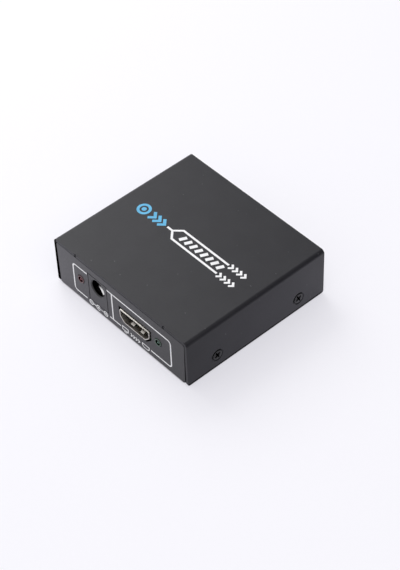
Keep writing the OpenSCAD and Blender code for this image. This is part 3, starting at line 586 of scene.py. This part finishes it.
# Top cover
# One sheet of 1 mm steel folded down into both side walls, countersunk for the four screws, nicked
# in its front edge, and coated like the tray. It slides down over the tray.
cover_low, cover_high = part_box("top_cover")
cover_ease, ink_t = 0.12 * mm, 0.02 * mm
cover_dark, cover_light, cover_sheen = (0.0115, 0.0112, 0.0150), (0.0145, 0.0142, 0.0182), 0.32
wall_in, hole_land = cad_high.x - 1.0 * mm, 0.12 * mm
nick_x, nick_r = cad_high.x - 11.2 * mm, 0.36 * mm
# Painted shade on the cover: the walls' lowest part and the left wall's front cut are painted black.
left_cut = (cad_low.x + 1.1 * mm, cad_low.x + 1.0 * mm)
front_cut = (cover_low.y + 0.2 * mm, cover_low.y + 0.1 * mm)
low_cut, painted_cut_shade = (0.95 * mm, 0.8 * mm), (0.004, 0.004, 0.004)


def combine(tree, operation, first, second):
    """The product or other combination of two values."""
    made = tree.nodes.new("ShaderNodeMath")
    made.operation = operation
    tree.links.new(first, made.inputs[0])
    tree.links.new(second, made.inputs[1])
    return made.outputs[0]


def paint_shade_at_cuts(material):
    """Paints the walls' lower cuts and the left wall's front cut black with no shine, as painted shade of
    the gaps there.
    """
    tree = material.node_tree
    place = tree.nodes.new("ShaderNodeTexCoord")
    point = tree.nodes.new("ShaderNodeSeparateXYZ")
    tree.links.new(place.outputs["Object"], point.inputs[0])
    left = stretch_range(tree, point.outputs["X"], *left_cut)
    front = stretch_range(tree, point.outputs["Y"], *front_cut)
    low = stretch_range(tree, point.outputs["Z"], *low_cut)
    cut_shade_mask = combine(tree, "MAXIMUM", combine(tree, "MULTIPLY", left, front), low)
    lay_over(tree, cut_shade_mask, painted_cut_shade)
    take_gloss(tree, cut_shade_mask)


def by_back_nick(v):
    """Whether a vertex lies across the back edge from a nick of the front edge."""
    return cover_high.y - v.co.y < nick_r and abs(abs(v.co.x) - nick_x) < nick_r


cover_form = node_form("top_cover")
for v in cover_form.verts:
    if by_back_nick(v):
        v.co.y = cover_high.y
    v.co.z = min(v.co.z, cad_high.z - ink_t)
    if wall_in < abs(v.co.x) < wall_in + hole_land:
        v.co.x = math.copysign(wall_in, v.co.x)
merge_corners(cover_form)
join_flats(cover_form, [v for v in cover_form.verts if by_back_nick(v)])
cover_coat = powder_coat("cover coat", cover_dark, cover_light, cover_sheen)
paint_shade_at_cuts(cover_coat)
cover = make_piece("folded_cover", cover_form, cover_coat, nodes=["top_cover"])
ease_edges(cover, cover_ease)


# Cover screws
# Four blackened countersunk steel screws with a cross recess go through the side walls into the
# threaded collars of the tray's tabs.
head_r, head_h, head_rim, head_ease = 1.86 * mm, 0.85 * mm, 0.1 * mm, 0.07 * mm
screw_len, screw_point = 4.0 * mm, 0.3 * mm
wing_w, wing_len, wing_depth, wing_turn = 0.55 * mm, 2.6 * mm, 0.42 * mm, math.radians(28)
wing_taper = ((0.5, 0.72), (1.0, 0.34))
crest_r, root_r, ridge_sink = 1.2 * mm, 0.98 * mm, 0.05 * mm
thread_pitch, ridge_half, turn_steps = 0.5 * mm, 0.16 * mm, 24
thread_top, thread_end = -head_h - 0.3 * mm, 0.36 * mm - screw_len


def cut_recess(form):
    """Closes the head's open top with a flat face round a tapered cross."""
    rim = [e for e in form.edges if e.is_boundary]
    near, far = wing_w / 2, wing_len / 2
    wing = [Vector((far, -near, 0)), Vector((far, near, 0)), Vector((near, near, 0))]
    turns = [Matrix.Rotation(wing_turn + i * math.pi / 2, 3, "Z") for i in range(4)]
    cross = [form.verts.new(turn @ corner) for turn in turns for corner in wing]
    ring = [form.edges.new(pair) for pair in zip(cross, cross[1:] + cross[:1])]
    bmesh.ops.bridge_loops(form, edges=rim + ring)
    for depth, share in wing_taper:
        grown = bmesh.ops.extrude_edge_only(form, edges=ring)
        added = new_verts(grown)
        for v in added:
            v.co.z = -wing_depth * depth
        sink = Vector((0, 0, -wing_depth * depth))
        bmesh.ops.scale(form, verts=added, vec=(share, share, 1), space=Matrix.Translation(-sink))
        ring = [e for e in new_edges(grown) if set(e.verts) <= set(added)]
    bmesh.ops.contextual_create(form, geom=ring)


def wind_thread(form):
    """Winds the thread's ridge round the shank as one helix."""
    turns = (thread_top - thread_end) / thread_pitch
    steps = round(turns * turn_steps)
    foot_r = root_r - ridge_sink
    ridge = [(foot_r, -ridge_half), (crest_r, 0), (foot_r, ridge_half)]
    corners = [form.verts.new((r, 0, thread_end + z)) for r, z in ridge]
    section = [form.edges.new(pair) for pair in zip(corners, corners[1:] + corners[:1])]
    form.faces.new(corners)
    wound = bmesh.ops.spin(form, geom=corners + section, cent=(0, 0, 0), axis=(0, 0, 1),
                           dvec=(0, 0, (thread_top - thread_end) / steps), angle=turns * 2 * math.pi,
                           steps=steps)
    form.faces.new([v for v in wound["geom_last"] if isinstance(v, bmesh.types.BMVert)])


def cover_screw():
    """One screw: top of the head at z = 0, shank downwards."""
    form = lathe([*arc(head_r - head_ease, -head_ease, head_ease, 90, 0, 3), (head_r, -head_rim),
                  (root_r, -head_h), (root_r, screw_point - screw_len), (root_r - screw_point, -screw_len),
                  (0, -screw_len)])
    cut_recess(form)
    wind_thread(form)
    bmesh.ops.recalc_face_normals(form, faces=form.faces)
    return form


black_oxide = grained("black oxide", (0.012, 0.012, 0.0125), (0.02, 0.02, 0.021), rough=(0.34, 0.46),
                      grain=0.12, relief=0.005, drift=1.0, metallic=0.3)
for side, sign, head_x in (("right", 1, cad_high.x), ("left", -1, cad_low.x)):
    for end in ("front", "back"):
        node = f"cover_screw_{side}_{end}"
        low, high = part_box(node)
        screw_form = cover_screw()
        screw_form.transform(Matrix.Translation((head_x, (low.y + high.y) / 2, (low.z + high.z) / 2))
                             @ Matrix.Rotation(sign * math.pi / 2, 4, "Y"))
        make_piece(f"threaded_screw_{side}_{end}", screw_form, black_oxide, node, [node])


# Printed marks
# Thin layers of screen-printed ink: white frames and plain signs on the front and back panels, and a
# blue and white sign on the top for one line that forks into two. Outlines are in millimetres.
panel_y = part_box("base_tray")[0].y
frame_line, sign_line, arrow_line, line_gap = 0.56, 0.38, 0.46, 0.03
frame_low, frame_high, frame_corner = 2.9, 15.15, 1.3
sign_v, arrow_size, arrow_step, mitre_limit = 2.5, 0.75, 1.25, 0.3


def ink(name, dark, light):
    """An even layer of matt printing ink."""
    return grained(name, dark, light, rough=(0.42, 0.55), grain=0.12, relief=0.002, drift=3.0)


def stroke(points, width):
    """Outline of a line of that width along the points, with square ends and mitred corners."""
    path = [Vector(p) for p in points]
    ways = [(b - a).normalized() for a, b in zip(path, path[1:])]
    left, right = [], []
    for i, point in enumerate(path):
        before, after = ways[max(i - 1, 0)], ways[min(i, len(ways) - 1)]
        across = Vector((-before.y - after.y, before.x + after.x)).normalized()
        reach = width / 2 / max(across.dot(Vector((-after.y, after.x))), mitre_limit)
        left.append(point + across * reach)
        right.append(point - across * reach)
    return left + right[::-1]


def print_marks(name, outlines, material, place):
    """A thin layer of ink between closed outlines, put in place by a matrix."""
    curve = bpy.data.curves.new(name, "CURVE")
    curve.dimensions = "2D"
    curve.fill_mode = "BOTH"
    curve.extrude = ink_t / 2
    for outline in outlines:
        spline = curve.splines.new("POLY")
        spline.points.add(len(outline) - 1)
        for point, (u, v) in zip(spline.points, outline):
            point.co = (u * mm, v * mm, 0, 1)
        spline.use_cyclic_u = True
    flat = bpy.data.objects.new(name, curve)
    bpy.context.scene.collection.objects.link(flat)
    layer = bpy.data.meshes.new_from_object(flat.evaluated_get(bpy.context.evaluated_depsgraph_get()))
    bpy.data.objects.remove(flat)
    form = bmesh.new()
    form.from_mesh(layer)
    bpy.data.meshes.remove(layer)
    merge_corners(form)
    bmesh.ops.recalc_face_normals(form, faces=form.faces)
    form.transform(place)
    return make_piece(name, form, material)


def disc(centre_u, centre_v, radius):
    """The outline of a disc."""
    return arc(centre_u, centre_v, radius, 0, 348, 29)


def ring_mark(centre_u, centre_v, radius, width):
    """The two outlines of a ring."""
    return [disc(centre_u, centre_v, radius), disc(centre_u, centre_v, radius - width)]


def open_frame(left, right, top_gap, low_gaps, divider):
    """A rounded frame with a divider, open at the top over a socket and at the bottom for its signs."""
    low, high, corner = frame_low, frame_high, frame_corner
    start = [(top_gap[0], high), *arc(left + corner, high - corner, corner, 90, 180),
             *arc(left + corner, low + corner, corner, 180, 270), (low_gaps[0][0], low)]
    finish = [(low_gaps[1][1], low), *arc(right - corner, low + corner, corner, 270, 360),
              *arc(right - corner, high - corner, corner, 0, 90), (top_gap[1], high)]
    middle = [(low_gaps[0][1], low), (low_gaps[1][0], low)]
    clear = frame_line / 2 + line_gap
    upright = [(divider, low + clear), (divider, high - clear)]
    return [stroke(points, frame_line) for points in (start, finish, middle, upright)]


def polarity_sign(centre_u):
    """Plain sign for a direct-current socket: minus ring, sleeve arc, pin dot, plus ring."""
    out, radius, half, bar, inner = 3.75, 1.1, 0.45, 0.15, 0.17
    sleeve_r, dot_r, arm = 1.0, 0.45, 0.16
    minus_u, plus_u, reach = centre_u - out, centre_u + out, out - radius - line_gap
    plus = [(half, -bar), (half, bar), (inner, inner), (bar, half), (-bar, half), (-inner, inner)]
    plus += [(-u, -v) for u, v in plus]
    dot = arc(centre_u, sign_v, dot_r, 19.5, 340.5, 22)
    return [*ring_mark(minus_u, sign_v, radius, sign_line), *ring_mark(plus_u, sign_v, radius, sign_line),
            stroke([(minus_u - half, sign_v), (minus_u + half, sign_v)], sign_line),
            [(plus_u + u, sign_v + v) for u, v in plus],
            stroke(arc(centre_u, sign_v, sleeve_r, 45, 315, 24), sign_line),
            stroke([(centre_u - reach, sign_v), (centre_u - sleeve_r - line_gap - sign_line / 2, sign_v)],
                   sign_line),
            dot + [(centre_u + reach, sign_v - arm), (centre_u + reach, sign_v + arm)]]


def screen_sign(centre_u):
    """A small screen on its stand."""
    half_w, height, low = 1.6, 1.9, sign_v - 0.55
    foot_half, foot_v = 0.8, low - 0.45

    def inset(d):
        left, right = centre_u - half_w + d, centre_u + half_w - d
        return [(left, low + d), (right, low + d), (right, low + height - d), (left, low + height - d)]
    foot = stroke([(centre_u - foot_half, foot_v), (centre_u + foot_half, foot_v)], sign_line)
    return [inset(0), inset(sign_line), foot]


def arrows(first_u, centre_v, count, step=arrow_step, size=arrow_size, width=arrow_line):
    """A row of chevrons that point to the right."""
    return [stroke([(first_u + i * step, centre_v + size), (first_u + i * step + size, centre_v),
                    (first_u + i * step, centre_v - size)], width) for i in range(count)]


def socket_sign(centre_u):
    """The outline of a port, with its slanted lower corners."""
    floor_u, side_u, edge_v, slant_v, lean = 1.0, 1.7, 0.8, 0.1, 0.4

    def grown(g):
        half = [(floor_u + lean * g, -edge_v - g), (side_u + g, -slant_v - lean * g),
                (side_u + g, edge_v + g)]
        both = half + [(-u, v) for u, v in reversed(half)]
        return [(centre_u + u, sign_v + v) for u, v in both]
    return [grown(sign_line / 2), grown(-sign_line / 2)]


def numeral_one(u, v):
    """The figure 1, as one outline."""
    outline = [(-0.5, 0.45), (-0.5, 0.8), (0, 1.15), (0.3, 1.15), (0.3, -1.15), (-0.1, -1.15), (-0.1, 0.65)]
    return [[(u + right, v + up) for right, up in outline]]


def numeral_two(u, v):
    """The figure 2, as one line."""
    bowl = arc(u, v + 0.45, 0.6, 160, -40, 12)
    return [stroke([*bowl, (u - 0.55, v - 0.95), (u + 0.75, v - 0.95)], sign_line)]


def fork(start, split, end, middle, spread, width):
    """One line that splits into two level branches, as a single outline."""
    path = stroke([(start, 0), (split, 0), (split + spread, spread), (end, spread)], width)
    upper = [*path[:6], Vector((split + width / math.sqrt(2), 0))]
    lower = [Vector((p.x, -p.y)) for p in reversed(upper[:-1])]
    return [(p.x, p.y + middle) for p in upper + lower]


white_ink = ink("white ink", (0.84, 0.84, 0.85), (0.92, 0.92, 0.93))
blue_ink = ink("blue ink", (0.09, 0.42, 0.69), (0.11, 0.48, 0.77))
on_front = Matrix.Translation((0, panel_y, 0)) @ facing_front
on_back = Matrix.Rotation(math.pi, 4, "Z") @ on_front
on_top = Matrix.Translation((0, 0, cad_high.z - ink_t / 2))

front_frame = open_frame(left=-23.8, right=25.3, top_gap=(-16.5, -6.3),
                         low_gaps=((-17.4, -5.6), (0.0, 15.1)), divider=-3.9)
front_signs = [*polarity_sign(-11.6), *screen_sign(2.2), *arrows(4.9, sign_v, 4), *socket_sign(12.5)]
print_marks("front_panel_print", front_frame + front_signs, white_ink, on_front)

back_frame = open_frame(left=-25.0, right=24.6, top_gap=(-0.43, -0.4),
                        low_gaps=((-19.5, -10.1), (4.9, 14.3)), divider=-0.4)
back_signs = [*socket_sign(-17.3), *arrows(-14.7, sign_v, 2), *numeral_one(-11.4, sign_v),
              *socket_sign(7.1), *arrows(9.7, sign_v, 2), *numeral_two(13.0, sign_v)]
print_marks("back_panel_print", back_frame + back_signs, white_ink, on_back)

fork_v, branch, fork_line = 0.4, 2.7, 0.8
eye_u, eye_r, eye_line, eye_dot = -22.8, 2.6, 1.0, 0.9
bar_u, bar_step, bar_lean, bar_low, bar_high, bar_line = -3.6, 2.6, 1.2, -0.85, 1.65, 1.3
fork_blue = [*ring_mark(eye_u, fork_v, eye_r, eye_line), disc(eye_u, fork_v, eye_dot),
             *arrows(-19.0, fork_v, 3, step=2.4, size=1.8, width=1.1)]
fork_white = [fork(start=-10.9, split=-8.4, end=16.5, middle=fork_v, spread=branch, width=fork_line)]
for arrow_v in (fork_v + branch, fork_v - branch):
    fork_white += arrows(17.2, arrow_v, 4, step=2.0, size=1.15, width=fork_line)
for low_u in (bar_u + i * bar_step for i in range(8)):
    fork_white.append(stroke([(low_u, bar_low), (low_u + bar_lean, bar_high)], bar_line))
print_marks("top_print_blue", fork_blue, blue_ink, on_top)
print_marks("top_print_white", fork_white, white_ink, on_top)


# Table top
# A wide, pale, matt board that the case stands on. It looks near white, keeps the case's shadow, and
# in the case's reflections it is brighter at the back left than at the front right.
table_reach, table_drop = 6.0, 0.02 * mm
table_shade, table_glow, mirror_glow = (0.42, 0.42, 0.42), (0.51, 0.503, 0.55), (0.51, 0.495, 0.575)
bright_way = Vector((-1, 1, 0)).normalized()
bright_reach, bright_level = (-70 * mm, 15 * mm), (0.3, 1.55)
contact_reach, contact_depth = 0.6 * mm, (0.1, 0.7)


def along_way(tree, point, way):
    """How far a point reaches along a direction."""
    made = tree.nodes.new("ShaderNodeVectorMath")
    made.operation = "DOT_PRODUCT"
    made.inputs[1].default_value = way
    tree.links.new(point, made.inputs[0])
    return made.outputs["Value"]


def pale_table():
    """Matt white paint with a glow of its own where it is looked at or mirrored."""
    material = grained("pale table", (0.83, 0.83, 0.85), (0.85, 0.85, 0.865), rough=(0.6, 0.7), grain=1.5,
                       relief=0.005, drift=60.0)
    tree = material.node_tree
    shader = tree.nodes["Principled BSDF"]
    rays = tree.nodes.new("ShaderNodeLightPath")
    looked_at = rays.outputs["Is Camera Ray"]
    mirrored = combine(tree, "MAXIMUM", rays.outputs["Is Glossy Ray"], rays.outputs["Is Transmission Ray"])
    seen = combine(tree, "MAXIMUM", looked_at, mirrored)
    lay_over(tree, seen, table_shade)
    # Painted reflection light: in the case's reflections the floor glows bluer, and brighter towards the
    # back left.
    tree.links.new(mix_colour(tree, looked_at, mirror_glow, table_glow), shader.inputs["Emission Color"])
    place = tree.nodes.new("ShaderNodeTexCoord")
    to_bright = along_way(tree, place.outputs["Object"], bright_way)
    strength = tree.nodes.new("ShaderNodeMix")
    strength.inputs[3].default_value = 1
    tree.links.new(looked_at, strength.inputs[0])
    tree.links.new(stretch_range(tree, to_bright, *bright_reach, *bright_level), strength.inputs[2])
    # Painted contact shadow: the glow fades close under the case's edges.
    contact = add_node(tree, "ShaderNodeAmbientOcclusion", Distance=contact_reach)
    shadow = stretch_range(tree, contact.outputs["AO"], *contact_depth)
    glow = combine(tree, "MULTIPLY", combine(tree, "MULTIPLY", strength.outputs[0], seen), shadow)
    tree.links.new(glow, shader.inputs["Emission Strength"])
    return material


floor_form = bmesh.new()
bmesh.ops.create_grid(floor_form, x_segments=1, y_segments=1, size=table_reach)
bmesh.ops.translate(floor_form, verts=floor_form.verts, vec=(0, 0, -table_drop))
floor_mesh = bpy.data.meshes.new("table_top")
floor_form.to_mesh(floor_mesh)
floor_form.free()
floor_mesh.materials.append(pale_table())
table_top = bpy.data.objects.new("table_top", floor_mesh)
bpy.context.scene.collection.objects.link(table_top)


# Room and lights
# Two square soft lights, a near one on the left and a larger one high on the right, in a pale room
# that is dark behind the case on the right.
room_tint, room_level, room_seen = (0.985, 0.98, 1.0, 1), 0.8, 0.95
dark_way, dark_level = Vector((0.72, 0.45, 0.53)).normalized(), 0.05
dark_spread = (math.cos(math.radians(62)), math.cos(math.radians(34)))


def from_front(azimuth, elevation):
    """The way to a place round the case, in degrees from the front towards the right and upwards."""
    a, e = math.radians(azimuth), math.radians(elevation)
    return Vector((math.sin(a) * math.cos(e), -math.cos(a) * math.cos(e), math.sin(e)))


def soft_light(name, azimuth, elevation, distance, size, power):
    """A square soft light that faces the case."""
    back = from_front(azimuth, elevation)
    lamp = bpy.data.lights.new(name, "AREA")
    lamp.shape = "SQUARE"
    lamp.size = size
    lamp.energy = power
    made = bpy.data.objects.new(name, lamp)
    made.location = back * distance
    made.rotation_euler = back.to_track_quat("Z", "Y").to_euler()
    bpy.context.scene.collection.objects.link(made)


soft_light("left_softbox", azimuth=258, elevation=42, distance=0.6, size=0.4, power=1.4)
soft_light("right_softbox", azimuth=80, elevation=55, distance=1.0, size=0.8, power=3.4)

scene = bpy.context.scene
scene.view_settings.view_transform = "Standard"
room = bpy.data.worlds.new("room")
room.use_nodes = True
room_tree = room.node_tree
backdrop = room_tree.nodes["Background"]
backdrop.inputs["Color"].default_value = room_tint
look = room_tree.nodes.new("ShaderNodeTexCoord")
to_dark = along_way(room_tree, look.outputs["Generated"], dark_way)
room_glow = stretch_range(room_tree, to_dark, *dark_spread, room_level, dark_level)
rays = room_tree.nodes.new("ShaderNodeLightPath")
seen = room_tree.nodes.new("ShaderNodeMix")
seen.inputs[3].default_value = room_seen
room_tree.links.new(rays.outputs["Is Camera Ray"], seen.inputs[0])
room_tree.links.new(room_glow, seen.inputs[2])
room_tree.links.new(seen.outputs[0], backdrop.inputs["Strength"])
scene.world = room


# Camera
# A long lens that looks down on the front right corner of the case, turned a little about its own
# axis, as the photograph was taken.
view_azimuth, view_elevation, view_roll = 49.76, 46.3, math.radians(-2.44)
view_target, view_distance, view_lens = Vector((9.34, -3.55, 10.0)) * mm, 595.2 * mm, 113.37

view_back = from_front(view_azimuth, view_elevation)
level_right = from_front(view_azimuth + 90, 0)
level_up = view_back.cross(level_right)
view_right = level_right * math.cos(view_roll) + level_up * math.sin(view_roll)
view_up = level_up * math.cos(view_roll) - level_right * math.sin(view_roll)
camera_data = bpy.data.cameras.new("photo_view")
camera_data.lens = view_lens
camera = bpy.data.objects.new("photo_view", camera_data)
camera.matrix_world = Matrix.Translation(view_target + view_back * view_distance) @ Matrix(
    (view_right, view_up, view_back)).transposed().to_4x4()
scene.collection.objects.link(camera)
scene.camera = camera
